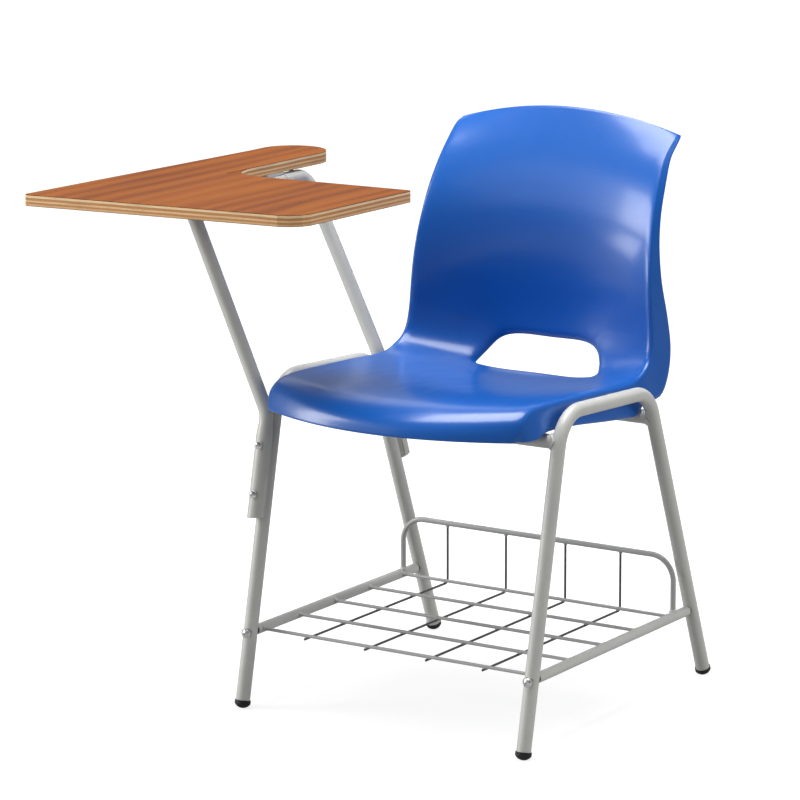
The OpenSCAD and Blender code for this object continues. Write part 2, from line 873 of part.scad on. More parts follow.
module tablet_brackets() {
    color("darkgray")
        translate(to_origin)
            difference() {
                for (y = bracket_y)
                    translate([bracket_x[0], y - bracket_w / 2, board_low - bracket_t])
                        cube([bracket_x[1] - bracket_x[0], bracket_w, bracket_t]);
                at_tablet_screws()
                    translate([0, 0, -1]) cylinder(h = 6, r = 2.4);
            }
}

module tablet_screws() {
    color("silver")
        translate(to_origin)
            at_tablet_screws()
                mirror([0, 0, 1])
                    dome_bolt(2.2, 12, 4.2, 2.6);
}

// Plan of the board: writing part, rear arm with a round end, straight outer edge
module board_plan() {
    arm_in_x = arm_centre.x + arm_r;
    arm_out = [arm_centre.x - arm_r, arm_centre.y - 30];
    edge_slope = (arm_out.x - board_front_outer.x) / (arm_out.y - board_front_outer.y);
    notch_out_x = arm_out.x + edge_slope * (board_notch.y - arm_out.y);
    difference() {
        union() {
            polygon([
                board_front_outer + [0, 5], board_front_outer + [5, 0.5],
                board_front_inner + [-30, -3.2], board_front_inner + [-16, 2],
                board_front_inner + [-4, 14], board_front_inner + [0.8, 27],
                board_rear_inner + [0.5, -6], board_rear_inner + [-2, -1.5], board_rear_inner + [-6, 0],
                board_notch + [60, 0], board_notch + [-4, 0], [arm_in_x, arm_centre.y],
                [arm_out.x, arm_centre.y], arm_out, [notch_out_x, board_notch.y]
            ]);
            translate(arm_centre) circle(r = arm_r, $fn = 64);
            // fillet of the notch
            translate([arm_in_x - 1, board_notch.y - 3]) square([notch_r + 1, notch_r + 3]);
        }
        translate([arm_in_x + notch_r, board_notch.y + notch_r]) circle(r = notch_r, $fn = 64);
    }
}

module board_slab(low, high) {
    translate([0, 0, low]) linear_extrude(height = high - low) board_plan();
}

module tablet_core() {
    color("burlywood")
        translate(to_origin)
            difference() {
                board_slab(core_low, core_high);
                at_tablet_screws() cylinder(h = 13, r = 2.2 + touch);
            }
}

module tablet_top_skin() {
    color("sienna")
        translate(to_origin)
            board_slab(core_high, board_high);
}

module tablet_bottom_skin() {
    color("peru")
        translate(to_origin)
            difference() {
                board_slab(board_low, core_low);
                at_tablet_screws() cylinder(h = 13, r = 2.2 + touch);
            }
}

// Rubber pad that meets the front support when the tablet is folded up
module open_buffer() {
    color("black")
        translate(to_origin)
            translate([hinge_x - open_buffer_out, front_elbow.y, board_low - open_buffer_t])
                cylinder(h = open_buffer_t, r = 9);
}

seat_shell();
seat_bosses();
seat_brackets();
seat_screws();
left_side_frame();
right_side_frame();
front_cross_tube();
rear_cross_tube();
foot_front_left();
foot_front_right();
foot_rear_left();
foot_rear_right();
rack_tube_left();
rack_tube_right();
rack_end_plugs();
rack_bolts();
rack_washers();
rack_cross_wires();
rack_depth_wires();
rack_guard();
tablet_support_front();
tablet_support_rear();
support_bolts();
support_washers();
support_nuts();
pivot_tube();
pivot_rivets();
pivot_washers();
rest_arm();
rest_buffer();
tablet_crossbar();
tablet_brackets();
tablet_screws();
tablet_core();
tablet_top_skin();
tablet_bottom_skin();
open_buffer();
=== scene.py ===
import json
import math

import bpy
import numpy as np
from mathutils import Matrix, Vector


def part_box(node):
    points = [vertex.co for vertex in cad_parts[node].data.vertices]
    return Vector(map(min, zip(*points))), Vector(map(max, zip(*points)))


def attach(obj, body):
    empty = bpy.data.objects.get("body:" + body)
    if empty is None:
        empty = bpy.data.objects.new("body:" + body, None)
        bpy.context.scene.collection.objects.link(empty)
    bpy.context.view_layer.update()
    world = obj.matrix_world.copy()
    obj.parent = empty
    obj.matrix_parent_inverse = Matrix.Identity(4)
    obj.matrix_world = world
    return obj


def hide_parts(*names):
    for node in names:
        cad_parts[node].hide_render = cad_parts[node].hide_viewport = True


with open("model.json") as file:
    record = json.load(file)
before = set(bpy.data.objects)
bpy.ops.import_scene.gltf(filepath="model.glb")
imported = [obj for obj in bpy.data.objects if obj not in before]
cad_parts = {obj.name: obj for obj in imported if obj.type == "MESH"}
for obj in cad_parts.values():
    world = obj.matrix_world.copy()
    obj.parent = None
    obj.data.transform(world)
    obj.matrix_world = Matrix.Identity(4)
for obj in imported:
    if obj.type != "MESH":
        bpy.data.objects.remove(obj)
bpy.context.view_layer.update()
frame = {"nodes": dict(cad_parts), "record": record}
MM = 0.001

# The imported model's origin is under the middle of the whole chair. The shell and the
# welds are worked out in millimetres in the chair's own frame, whose x = 0 is the
# seat's middle line. SHIFT, in metres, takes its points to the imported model.
GUARD_Y = 148.0
FRONT_FOOT_Y, FRONT_RAKE = -243.0, 93 / 433     # a leg's y on the floor, and dy per dz
REAR_FOOT_Y, REAR_RAKE = 233.0, -163 / 422
DEPTH_WIRE_X = (-142.5, -47.5, 47.5, 134.0)
FRONT_SADDLE_Z, REAR_SADDLE_Z = 247.5, 263.0    # lower ends
SADDLE_EDGE = (9.6, 13.7)                       # pressed edge: sideways, outwards from the leg


def centre_of(node):
    low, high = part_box(node)
    return (low + high) / 2


SHIFT = np.array([
    (centre_of("left_side_frame").x + centre_of("right_side_frame").x) / 2,
    centre_of("rack_guard").y - GUARD_Y * MM,
    0.0,
])


# ---------------------------------------------------------------- meshes and materials
def new_mesh(name, verts, faces, body, slot):
    mesh = bpy.data.meshes.new(name)
    mesh.from_pydata([tuple(map(float, v)) for v in verts], [], faces)
    mesh.validate()
    mesh.update()
    mesh.polygons.foreach_set("use_smooth", [True] * len(mesh.polygons))
    obj = bpy.data.objects.new(name, mesh)
    bpy.context.scene.collection.objects.link(obj)
    mesh.materials.append(SLOTS[slot])
    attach(obj, body)
    return obj


# Places of the colour sockets on a Mix node
MIX_FACTOR, MIX_A, MIX_B, MIX_RESULT = 0, 6, 7, 2
BLACK, WHITE = (0, 0, 0), (1, 1, 1)


class Graph:
    """A material's node tree with short calls for adding and joining nodes.

    Scales are in cycles per metre, and bump distances in metres.
    """

    def __init__(self, name):
        self.material = bpy.data.materials.new(name)
        self.material.use_nodes = True
        self.tree = self.material.node_tree
        self.shader = self.tree.nodes["Principled BSDF"]
        self.coords = self.tree.nodes.new("ShaderNodeTexCoord").outputs["Object"]

    def set(self, **values):
        for key, value in values.items():
            self.shader.inputs[key.replace("_", " ")].default_value = value

    def put(self, key, output):
        self.tree.links.new(output, self.shader.inputs[key])

    def add(self, kind, inputs=None, **props):
        node = self.tree.nodes.new(kind)
        for key, value in props.items():
            setattr(node, key, value)
        for key, value in (inputs or {}).items():
            socket = node.inputs[key]
            if isinstance(value, bpy.types.NodeSocket):
                self.tree.links.new(value, socket)
            else:
                socket.default_value = value
        return node

    def scaled(self, x, y, z):
        return self.add(
            "ShaderNodeMapping", {"Vector": self.coords, "Scale": (x, y, z)}
        ).outputs["Vector"]

    def noise(self, scale, detail=3.0, rough=0.5, vector=None, distortion=0.0):
        return self.add(
            "ShaderNodeTexNoise",
            {
                "Vector": self.coords if vector is None else vector,
                "Scale": scale,
                "Detail": detail,
                "Roughness": rough,
                "Distortion": distortion,
            },
        ).outputs["Fac"]

    def ramp(self, fac, stops):
        node = self.add("ShaderNodeValToRGB", {"Fac": fac})
        elements = node.color_ramp.elements
        while len(elements) < len(stops):
            elements.new(0.5)
        for element, (place, colour) in zip(elements, stops):
            element.position = place
            element.color = (*colour, 1)
        return node.outputs["Color"]

    def span(self, value, low, high, out_low=0.0, out_high=1.0):
        return self.add(
            "ShaderNodeMapRange",
            {
                "Value": value,
                "From Min": low,
                "From Max": high,
                "To Min": out_low,
                "To Max": out_high,
            },
        ).outputs["Result"]

    def math(self, kind, a, b):
        return self.add("ShaderNodeMath", {0: a, 1: b}, operation=kind).outputs["Value"]

    def mix(self, fac, a, b, blend="MIX"):
        sockets = {MIX_FACTOR: fac, MIX_A: a, MIX_B: b}
        for index in (MIX_A, MIX_B):
            if not isinstance(sockets[index], bpy.types.NodeSocket):
                sockets[index] = (*sockets[index], 1)
        node = self.add("ShaderNodeMix", sockets, data_type="RGBA", blend_type=blend)
        return node.outputs[MIX_RESULT]

    def bump(self, height, distance, strength, under=None):
        node = self.add(
            "ShaderNodeBump", {"Height": height, "Distance": distance, "Strength": strength}
        )
        if under is not None:
            self.tree.links.new(under, node.inputs["Normal"])
        return node.outputs["Normal"]


def shade(colour, factor):
    return tuple(factor * c for c in colour)


def painted(name, colour, rough):
    """Powder coat: even colour with slight drift, orange peel and a few fine specks."""
    g = Graph(name)
    base = g.ramp(g.noise(9, 4), [(0.3, shade(colour, 0.94)), (0.7, shade(colour, 1.06))])
    speck = g.ramp(g.noise(1500, 1, 0.4), [(0.68, BLACK), (0.78, WHITE)])
    g.put("Base Color", g.mix(speck, base, shade(colour, 1.25)))
    g.put("Roughness", g.span(g.noise(60, 3), 0.3, 0.7, rough - 0.05, rough + 0.07))
    peel = g.bump(g.noise(420, 2, 0.45), 0.00007, 0.5)
    g.put("Normal", g.bump(g.noise(55, 2, 0.5), 0.0002, 0.25, peel))
    g.set(Metallic=0.0, Coat_Weight=0.22, Coat_Roughness=0.22)
    return g.material


def moulded(name, dark, light, rough, grain=0.00006, scale=900):
    """Moulded plastic or rubber: fine sparked grain, flow marks and slight colour drift."""
    g = Graph(name)
    flow = g.noise(6.0, 5, 0.55, distortion=0.6)
    g.put("Base Color", g.ramp(flow, [(0.3, dark), (0.72, light)]))
    g.put("Roughness", g.span(g.noise(35, 4), 0.25, 0.75, rough - 0.05, rough + 0.06))
    fine = g.bump(g.noise(scale, 3, 0.6), grain, 0.6)
    g.put("Normal", g.bump(g.noise(22, 2), 0.0006, 0.12, fine))
    return g.material


def shell_plastic(name):
    """Blue moulded polypropylene: fine spark grain, faint rub marks, satin."""
    g = Graph(name)
    deep, bright = (0.0018, 0.086, 0.390), (0.0025, 0.100, 0.440)
    g.put("Base Color", g.ramp(g.noise(3, 4, 0.5), [(0.3, deep), (0.7, bright)]))
    rub = g.noise(1.0, 4, 0.6, g.scaled(60, 9, 60))
    g.put("Roughness", g.span(rub, 0.3, 0.7, 0.29, 0.35))
    g.put("Normal", g.bump(g.noise(700, 2, 0.5), 0.00004, 0.2))
    g.set(Specular_IOR_Level=0.45, Coat_Weight=0.35, Coat_Roughness=0.16)
    return g.material


def plated(name, colour, rough):
    """Bright plated or drawn steel with a fine mottle."""
    g = Graph(name)
    g.put("Base Color", g.ramp(g.noise(90, 4), [(0.3, shade(colour, 0.85)), (0.7, colour)]))
    g.put("Roughness", g.span(g.noise(500, 3), 0.3, 0.7, rough - 0.06, rough + 0.1))
    g.put("Normal", g.bump(g.noise(1200, 3, 0.6), 0.00003, 0.6))
    g.set(Metallic=1.0)
    return g.material


def laminate(name):
    """Wood-print laminate: long streaks along Y that bend a little, growth bands, pores."""
    g = Graph(name)
    bend = g.span(g.noise(2.2, 3, 0.5, g.scaled(1, 0.35, 1)), 0, 1, -0.03, 0.03)
    sideways = g.add("ShaderNodeCombineXYZ", {"X": bend}).outputs["Vector"]
    shifted = g.add(
        "ShaderNodeVectorMath", {0: g.coords, 1: sideways}, operation="ADD"
    ).outputs["Vector"]

    def stretched(x, y):
        return g.add("ShaderNodeMapping", {"Vector": shifted, "Scale": (x, y, 1)}).outputs["Vector"]

    broad = g.noise(1.0, 4, 0.55, stretched(16, 1.6), 0.5)
    streak = g.noise(1.0, 6, 0.65, stretched(75, 3.0), 0.2)
    fine = g.noise(1.0, 4, 0.7, stretched(420, 9))
    rings = g.add(
        "ShaderNodeTexWave",
        {
            "Vector": stretched(1, 0.09),
            "Scale": 9.0,
            "Distortion": 7.0,
            "Detail": 3.0,
            "Detail Scale": 1.3,
            "Detail Roughness": 0.6,
        },
        wave_type="BANDS",
        bands_direction="X",
    ).outputs["Fac"]
    figure = g.math("ADD", g.math("MULTIPLY", broad, 0.5), g.math("MULTIPLY", streak, 0.34))
    figure = g.math("ADD", figure, g.math("MULTIPLY", rings, 0.16))
    base = g.ramp(
        figure,
        [
            (0.26, (0.095, 0.020, 0.001)),
            (0.38, (0.155, 0.036, 0.002)),
            (0.50, (0.205, 0.053, 0.003)),
            (0.62, (0.238, 0.067, 0.005)),
            (0.80, (0.275, 0.086, 0.010)),
        ],
    )
    pores = g.ramp(fine, [(0.30, (0.62, 0.55, 0.5)), (0.44, WHITE)])
    g.put("Base Color", g.mix(0.5, base, pores, "MULTIPLY"))
    g.put("Roughness", g.span(streak, 0.3, 0.7, 0.44, 0.56))
    g.put("Normal", g.bump(fine, 0.00005, 0.35, g.bump(g.noise(30, 2), 0.0002, 0.1)))
    g.set(Specular_IOR_Level=0.12, Coat_Weight=0.02, Coat_Roughness=0.3)
    return g.material


def plywood(name, low_z, high_z):
    """Cut ply edge: veneers of uneven thickness and colour, their grain seen along or end on."""
    g = Graph(name)
    z = g.add("ShaderNodeSeparateXYZ", {"Vector": g.coords}).outputs["Z"]
    wobble = g.noise(1.0, 2, 0.5, g.scaled(9, 9, 2))
    z = g.math("ADD", z, g.span(wobble, 0, 1, -0.0007, 0.0007))
    place = g.span(z, low_z, high_z)
    # each veneer: where it ends, as a share of the core's thickness, and its colour; the top
    # veneer's lightest colour is partly a painted highlight on the board's top edge
    veneers = [
        (0.20, (0.84, 0.50, 0.24)),
        (0.36, (0.62, 0.30, 0.11)),
        (0.56, (0.93, 0.60, 0.31)),
        (0.78, (0.60, 0.28, 0.10)),
        (1.00, (0.98, 0.72, 0.42)),
    ]
    glue, seam = 0.012, (0.22, 0.10, 0.04)
    stops, start = [], 0.0
    for end, colour in veneers:
        stops += [(start, colour), (end - 2 * glue, colour), (end - glue, seam)]
        start = end
    bands = g.ramp(place, stops[:-1])    # the top veneer has no seam above it
    along = g.noise(1.0, 5, 0.6, g.scaled(40, 40, 1400))
    across = g.noise(1.0, 4, 0.65, g.scaled(700, 700, 500))
    grain = g.mix(
        0.5,
        g.ramp(along, [(0.3, (0.72, 0.66, 0.6)), (0.6, WHITE)]),
        g.ramp(across, [(0.3, (0.74, 0.68, 0.62)), (0.6, WHITE)]),
    )
    veneer = g.mix(0.8, bands, grain, "MULTIPLY")
    stain = g.noise(1.0, 3, 0.6, g.scaled(22, 22, 160))
    g.put("Base Color", g.mix(g.span(stain, 0.5, 0.8, 0, 0.4), veneer, (0.30, 0.12, 0.04)))
    g.put("Roughness", g.span(along, 0.3, 0.7, 0.42, 0.6))
    g.put("Normal", g.bump(g.mix(0.5, along, across), 0.00015, 0.5))
    g.set(Coat_Weight=0.12, Coat_Roughness=0.35)
    return g.material


core_low, core_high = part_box("tablet_core")
SLOTS = {
    "shell_plastic": shell_plastic("shell_plastic"),
    "frame_coat": painted("frame_coat", (0.56, 0.56, 0.53), 0.38),
    "wire_coat": painted("wire_coat", (0.42, 0.42, 0.41), 0.34),
    "wire_dark": painted("wire_dark", (0.085, 0.085, 0.085), 0.36),
    "foot_rubber": moulded(
        "foot_rubber", (0.006, 0.006, 0.007), (0.012, 0.012, 0.013), 0.5, 0.0001, 700
    ),
    "plug_nylon": moulded("plug_nylon", (0.02, 0.02, 0.022), (0.035, 0.035, 0.038), 0.5),
    "zinc": plated("zinc", (0.86, 0.86, 0.85), 0.32),
    "washer_steel": plated("washer_steel", (0.72, 0.72, 0.71), 0.4),
    "pivot_steel": plated("pivot_steel", (0.55, 0.55, 0.54), 0.3),
    "rivet": plated("rivet", (0.8, 0.8, 0.79), 0.2),
    "washer_nylon": moulded("washer_nylon", (0.01, 0.01, 0.01), (0.02, 0.02, 0.02), 0.5),
    "ply": plywood("ply", core_low.z, core_high.z),
    "laminate_top": laminate("laminate_top"),
    "laminate_backing": moulded(
        "laminate_backing", (0.16, 0.085, 0.045), (0.24, 0.14, 0.08), 0.5, 0.00008, 600
    ),
}
node_slot = {row["node"]: row["material_slot"] for row in frame["record"]["subparts"]}
for node, obj in frame["nodes"].items():
    obj.data.materials.clear()
    obj.data.materials.append(SLOTS[node_slot[node]])


# ---------------------------------------------------------------- seat shell
# Stations from the front edge to the top edge, in millimetres from the chair's own
# origin: middle line y, z; rim corner x, y, z; flange edge x, y, z.
STATIONS = np.array([
    [-270, 404.5, 187, -220, 404.5, 191, -214, 404.5],
    [-266, 416, 191, -214.5, 418, 197.5, -206, 404.5],
    [-255, 427, 192.5, -207, 431, 201, -197, 404.5],
    [-236, 435.5, 193, -192, 440, 203.5, -184, 405.5],
    [-208, 440, 193, -170, 444, 204, -166, 410.5],
    [-165, 440, 194, -135, 444, 204, -135, 410],
    [-105, 435, 195, -80, 442, 204, -80, 405],
    [-35, 426.5, 196, -15, 439, 204, -15, 397],
    [35, 417.5, 197, 42, 436, 204, 42, 391],
    [85, 411, 197, 74, 437, 204, 66, 390],
    [118, 408, 196.5, 95, 443, 203.5, 90, 403.5],
    [147, 409.5, 195, 110, 453, 203, 130, 404],
    [171, 424, 193, 118, 468, 202, 152, 427],
    [184, 452, 191, 121.5, 492, 200, 162, 464],
    [183, 491, 188, 123, 530, 197, 157, 508],
    [174, 535, 185, 127, 565, 193, 148, 555],
    [168, 580, 181.5, 136, 603, 188.5, 149, 601],
    [169, 625, 177, 150, 642, 184, 160, 642],
    [179, 668, 171.5, 171, 680, 179.5, 180, 682],
    [196, 706, 168, 193, 710, 175, 200, 712],
    [219, 745, 169, 215, 731, 174.5, 221, 731],
    [231, 764, 168.5, 230, 739.5, 172, 233.5, 737.5],
], float)
LAST = len(STATIONS) - 1
SHELL_T = 4.0
# A point of the front surface has a section place q, 0 at the middle line, 1 at the rim
# corner and SECTION_END at the flange's edge, and a station place t from 0 to LAST.
DISH_POWER = 2.0
CORNER = (0.93, 1.07)      # q where the rim starts and ends its turn
SECTION_END = 1.5
CORNER_SHARE = 0.18        # share of the flange that the turn takes up
NORMAL_STEP = 0.012        # in q and t, for slopes
# Lumbar opening: middle and half height in t, half width in q at its foot and its head
HOLE_T, HOLE_HALF_T, HOLE_LOW, HOLE_HIGH = 12.0, 1.06, 0.53, 0.385
HOLE_SQUARE, HOLE_ARCH = 4.0, 0.36
COARSE_COLS = [
    0, 0.1, 0.2, 0.3, 0.4, 0.5, 0.6, 0.7, 0.78, 0.86, 0.93, 0.965,
    1, 1.035, 1.07, 1.21, 1.36, 1.5,
]
COL_SPLIT, ROW_SPLIT = 3, 4
# The grid leaves out a block round the opening, which rings fill down to its edge
BLOCK_ROWS, BLOCK_COL = (10, 14), 7
RINGS, RING_EASE = 12, 1.6
LIP_DEPTH, LIP_POWER = 5.0, 9.0
EDGE_SEGMENTS, EDGE_BULGE = 6, 0.55


def station(t):
    """Rows of STATIONS between the given ones, on Catmull-Rom curves."""
    k = np.clip(np.floor(t).astype(int), 0, LAST - 1)
    f = (t - k)[:, None]
    a, b = STATIONS[np.maximum(k - 1, 0)], STATIONS[k]
    c, d = STATIONS[k + 1], STATIONS[np.minimum(k + 2, LAST)]
    return (
        2 * b + (c - a) * f + (2 * a - 5 * b + 4 * c - d) * f**2 + (3 * b - a - 3 * c + d) * f**3
    ) / 2


def dish(s, w):
    rise = s**DISH_POWER
    y, z = (w[:, i] + (w[:, i + 3] - w[:, i]) * rise for i in (0, 1))
    return np.stack([s * w[:, 2], y, z], 1)


def flange(f, w):
    return w[:, 2:5] + (w[:, 5:8] - w[:, 2:5]) * f[:, None]


def half_section(q, w):
    one = np.ones(len(q))
    b = np.clip((q - CORNER[0]) / (CORNER[1] - CORNER[0]), 0, 1)[:, None]
    turn = (
        (1 - b) ** 2 * dish(CORNER[0] * one, w)
        + 2 * b * (1 - b) * dish(one, w)
        + b**2 * flange(CORNER_SHARE * one, w)
    )
    share = CORNER_SHARE + (1 - CORNER_SHARE) * (q - CORNER[1]) / (SECTION_END - CORNER[1])
    out = np.where((q <= CORNER[0])[:, None], dish(np.minimum(q, 1), w), turn)
    return np.where((q >= CORNER[1])[:, None], flange(np.clip(share, 0, 1), w), out)


def shell_points(uv):
    """Points of the front surface and their normals, which point to the sitter."""
    q, t = uv[:, 0], uv[:, 1]
    a, h, here = np.abs(q), NORMAL_STEP, station(t)
    p = half_section(a, here)
    along = half_section(np.minimum(a + h, SECTION_END), here)
    along = along - half_section(np.maximum(a - h, 0), here)
    up = half_section(a, station(np.minimum(t + h, LAST)))
    up = up - half_section(a, station(np.maximum(t - h, 0)))
    n = np.cross(along, up)
    n[q == 0, 0] = 0
    n /= np.linalg.norm(n, axis=1)[:, None]
    side = np.where(q < 0, -1.0, 1.0)
    p[:, 0] *= side
    n[:, 0] *= side
    p[q == 0, 0] = 0
    return p, n


def hole_edge(angle):
    c, s = math.cos(angle), math.sin(angle)
    dt = math.copysign(abs(s) ** (2 / HOLE_SQUARE), s)
    half = HOLE_LOW + (HOLE_HIGH - HOLE_LOW) * (dt + 1) / 2
    across = math.copysign(abs(c) ** (2 / HOLE_SQUARE), c)
    arch = -HOLE_ARCH * (1 - 2 * across**2) * min(dt, 0)
    return np.array([half * across, HOLE_T + HOLE_HALF_T * dt + arch])


def shell_grid():
    """Front surface: points as [q, t], quads, rim loop, hole loop and the lip's weights."""
    half = []
    for a, b in zip(COARSE_COLS, COARSE_COLS[1:]):
        half += [a + (b - a) * i / COL_SPLIT for i in range(COL_SPLIT)]
    half.append(COARSE_COLS[-1])
    cols = [-x for x in half[:0:-1]] + half
    mid = len(half) - 1
    rows = [i / ROW_SPLIT for i in range(LAST * ROW_SPLIT + 1)]
    n_col, n_row = len(cols), len(rows)
    uv = [(c, r) for r in rows for c in cols]
    r0, r1 = BLOCK_ROWS[0] * ROW_SPLIT, BLOCK_ROWS[1] * ROW_SPLIT
    c0, c1 = mid - BLOCK_COL * COL_SPLIT, mid + BLOCK_COL * COL_SPLIT

    def at(i, j):
        return i * n_col + j

    quads = [
        (at(i, j), at(i, j + 1), at(i + 1, j + 1), at(i + 1, j))
        for i in range(n_row - 1)
        for j in range(n_col - 1)
        if not (r0 <= i < r1 and c0 <= j < c1)
    ]
    loop = (
        [(r0, j) for j in range(c0, c1)]
        + [(i, c1) for i in range(r0, r1)]
        + [(r1, j) for j in range(c1, c0, -1)]
        + [(i, c0) for i in range(r1, r0, -1)]
    )
    previous = [at(i, j) for i, j in loop]
    weights = [0.0] * len(uv)
    for m in range(1, RINGS + 1):
        share = 1 - (1 - m / RINGS) ** RING_EASE
        ring = []
        for i, j in loop:
            start = np.array([cols[j], rows[i]])
            angle = math.atan2((start[1] - HOLE_T) / (rows[r1] - HOLE_T), start[0] / cols[c1])
            ring.append(len(uv))
            uv.append(tuple(start + (hole_edge(angle) - start) * share))
            weights.append(share)
        n = len(loop)
        for k in range(n):
            after = (k + 1) % n
            quads.append((previous[k], previous[after], ring[after], ring[k]))
        previous = ring
    rim = (
        [at(0, j) for j in range(n_col - 1)]
        + [at(i, n_col - 1) for i in range(n_row - 1)]
        + [at(n_row - 1, j) for j in range(n_col - 1, 0, -1)]
        + [at(i, 0) for i in range(n_row - 1, 0, -1)]
    )
    return np.array(uv), quads, rim, previous, np.array(weights)


def build_shell():
    uv, quads, rim, hole, weight = shell_grid()
    p, n = shell_points(uv)
    # the hole's edge rolls towards the back
    p = p - n * (LIP_DEPTH * weight**LIP_POWER)[:, None]
    verts = [*(p * MM + SHIFT), *((p - SHELL_T * n) * MM + SHIFT)]
    count = len(p)
    faces = [tuple(f) for f in quads]
    faces += [tuple(count + v for v in reversed(f)) for f in quads]
    for loop, flip in ((rim, False), (hole, True)):
        # a round edge joins the two surfaces
        size = len(loop)
        bands = [loop]
        front, normal = p[loop], n[loop]
        centre = front - normal * SHELL_T / 2
        ahead, behind = np.roll(front, -1, 0) - front, front - np.roll(front, 1, 0)
        outward = np.cross(ahead + behind, normal)
        outward /= np.linalg.norm(outward, axis=1)[:, None]
        straight = (ahead * behind).sum(1)
        straight = straight / np.linalg.norm(ahead, axis=1) / np.linalg.norm(behind, axis=1)
        # it flattens where the loop turns a corner
        outward *= EDGE_BULGE * np.clip(straight, 0, 1)[:, None] ** 2
        if flip:
            outward = -outward
        for s in range(1, EDGE_SEGMENTS):
            a = math.pi * s / EDGE_SEGMENTS
            ring = centre + (normal * math.cos(a) + outward * math.sin(a)) * SHELL_T / 2
            bands.append(list(range(len(verts), len(verts) + size)))
            verts += [*(ring * MM + SHIFT)]
        bands.append([count + v for v in loop])
        for low, high in zip(bands, bands[1:]):
            for k in range(size):
                m = (k + 1) % size
                quad = (low[m], low[k], high[k], high[m])
                faces.append(tuple(reversed(quad)) if flip else quad)
    shell = new_mesh("shell_detailed", verts, faces, "chair_frame", "shell_plastic")
    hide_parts("seat_shell")


build_shell()


# ---------------------------------------------------------------- welds
RNG = np.random.default_rng(7)
ALONG_X, UPWARD = (1, 0, 0), (0, 0, 1)
# Bead radii, in millimetres
LEG_BEAD, TAB_BEAD, ARM_BEAD, PLATE_BEAD = 1.5, 1.1, 1.2, 1.1
SCALE_STEP = 3.0                                # from one weld scale to the next
WAVER_STEP, WAVER = 6, 0.1
RING_STEPS, RING_PROUD, LEG_PROUD = 120, 0.3, 0.7
TAB_W, PLATE_W = 40, 38                         # seat tabs and board plates
TAB_SEAM, TAB_SEAM_Y, TAB_SEAM_DROP = 34, 3.6, 1.0
PLATE_SEAM, PLATE_SEAM_X, PLATE_SEAM_DROP = 32, 4.8, 0.6
CROSS_WIRES, DEPTH_WIRE_R, FADE = 5, 1.6, 0.05
DROP_R, DROP_HALF = 2.9, 1.5                    # weld drops where two wires cross
SADDLE_RIB = [(0, 0.4), (2, 1.2), (40, 1.3), (88, 1.2), (94, 0.4)]  # height, radius
SADDLE_RIB_START = 4


class Beads:
    """Round rods of varying radius, gathered into one mesh."""

    def __init__(self):
        self.verts, self.faces = [], []

    def rod(self, points, radii, ref, closed=False, sides=10):
        points, ref = np.array(points, float), np.array(ref, float)
        count = len(points)
        if closed:
            ahead, behind = np.roll(points, -1, 0), np.roll(points, 1, 0)
        else:
            ahead = np.concatenate([points[1:], points[-1:]])
            behind = np.concatenate([points[:1], points[:-1]])
        tangent = ahead - behind
        tangent /= np.linalg.norm(tangent, axis=1)[:, None]
        u = np.cross(tangent, ref)
        u /= np.linalg.norm(u, axis=1)[:, None]
        v = np.cross(tangent, u)
        base = len(self.verts)
        for i in range(count):
            for k in range(sides):
                a = 2 * math.pi * k / sides
                self.verts.append(points[i] + radii[i] * (math.cos(a) * u[i] + math.sin(a) * v[i]))
        for i in range(count if closed else count - 1):
            low, high = base + i * sides, base + (i + 1) % count * sides
            for k in range(sides):
                m = (k + 1) % sides
                self.faces.append((low + k, low + m, high + m, high + k))
        if not closed:
            for end, ring in ((0, base), (count - 1, base + (count - 1) * sides)):
                tip = len(self.verts)
                self.verts.append(points[end])
                for k in range(sides):
                    m = (k + 1) % sides
                    face = (ring + m, ring + k, tip)
                    self.faces.append(face if end == 0 else face[::-1])

    def bead(self, points, radius, ref, closed=False):
        """A weld bead: scales every few millimetres, ends that fade out."""
        points = np.array(points, float)
        hop = np.linalg.norm(np.diff(points, axis=0), axis=1)
        place = np.concatenate([[0], np.cumsum(hop)])
        knots = np.arange(0, place[-1] + WAVER_STEP, WAVER_STEP)
        waver = np.interp(place, knots, RNG.uniform(-WAVER, WAVER, len(knots)))
        radii = radius * (1 + waver + 0.12 * np.abs(np.sin(math.pi * place / SCALE_STEP)))
        if not closed:
            ends = np.minimum(place, place[-1] - place) / (1.3 * radius)
            radii *= np.sqrt(np.clip(1 - (1 - np.clip(ends, 0, 1)) ** 2, 0.02, 1))
        self.rod(points, radii, ref, closed)

    def line(self, a, b, radius, ref):
        """A straight weld bead."""
        a, b = np.array(a, float), np.array(b, float)
        n = max(8, int(np.linalg.norm(b - a) / 0.6))
        self.bead([a + (b - a) * i / n for i in range(n + 1)], radius, ref)

    def collar(self, at, axis, profile, ref, sides=14):
        """A turned piece whose profile lists heights along the axis and radii."""
        at, axis = np.array(at, float), np.array(axis, float)
        self.rod([at + axis * h for h, _ in profile], [r for _, r in profile], ref, sides=sides)

    def blob(self, at, radius, half, axis, ref):
        """Flattened drop of weld metal."""
        turns = [math.pi * i / 8 for i in range(1, 8)]
        self.collar(at, axis, [(-half * math.cos(t), radius * math.sin(t)) for t in turns], ref, 10)

    def place(self, name, body, slot):
        new_mesh(name, [v * MM + SHIFT for v in self.verts], self.faces, body, slot)


def own(node):
    """A node's box in the chair's own frame, in millimetres."""
    low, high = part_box(node)
    return (np.array(low) - SHIFT) / MM, (np.array(high) - SHIFT) / MM


def middle(node):
    low, high = own(node)
    return (low + high) / 2


